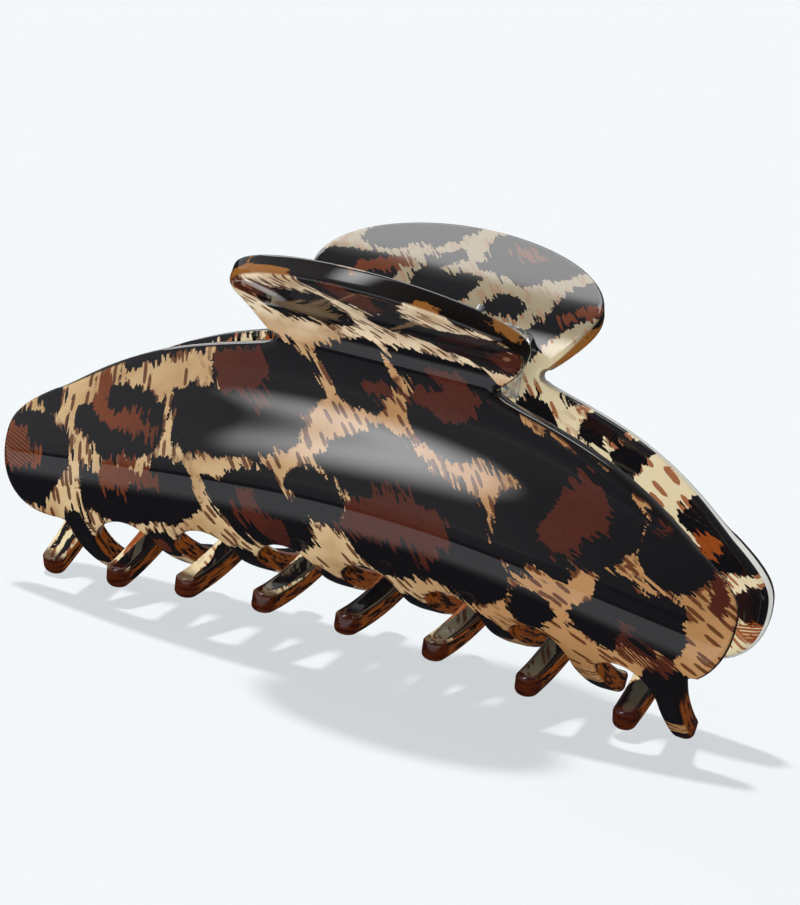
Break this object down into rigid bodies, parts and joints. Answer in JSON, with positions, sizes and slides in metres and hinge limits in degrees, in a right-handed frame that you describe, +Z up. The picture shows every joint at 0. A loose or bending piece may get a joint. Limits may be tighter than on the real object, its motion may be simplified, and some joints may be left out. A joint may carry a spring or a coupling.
{
  "type": "hair claw clip",
  "caption": "Large half-moon hair claw clip with a leopard print: two formed plates with interleaved teeth and oval thumb tabs, hinged on a sprung pin.",
  "frame": {"origin": "middle of the clip on the surface that its end teeth stand on", "axes": "+X along the clip, +Y from the front jaw to the back jaw, +Z up towards the thumb tabs"},
  "size_m": [0.1064, 0.0514, 0.0558],
  "materials": {
    "printed_sheet": "polished sheet with a leopard print, amber edges",
    "clear_acrylic": "clear, polished",
    "pin_steel": "bright steel",
    "spring_wire": "drawn spring wire"
  },
  "bodies": {
    "front": {"front_jaw": "printed_sheet", "front_lug_left": "clear_acrylic", "front_lug_right": "clear_acrylic", "hinge_pin": "pin_steel", "torsion_spring": "spring_wire"},
    "back": {"back_jaw": "printed_sheet", "back_lug_left": "clear_acrylic", "back_lug_right": "clear_acrylic"}
  },
  "joints": [
    {"name": "jaw_hinge", "type": "hinge", "parent": "front", "child": "back", "pos_m": [0, 0, 0.04477], "axis": [1, 0, 0], "range_deg": [0, 110], "stiffness_Nm_per_rad": 0.08, "springref_deg": -45.84, "deforming": ["torsion_spring"]}
  ]
}
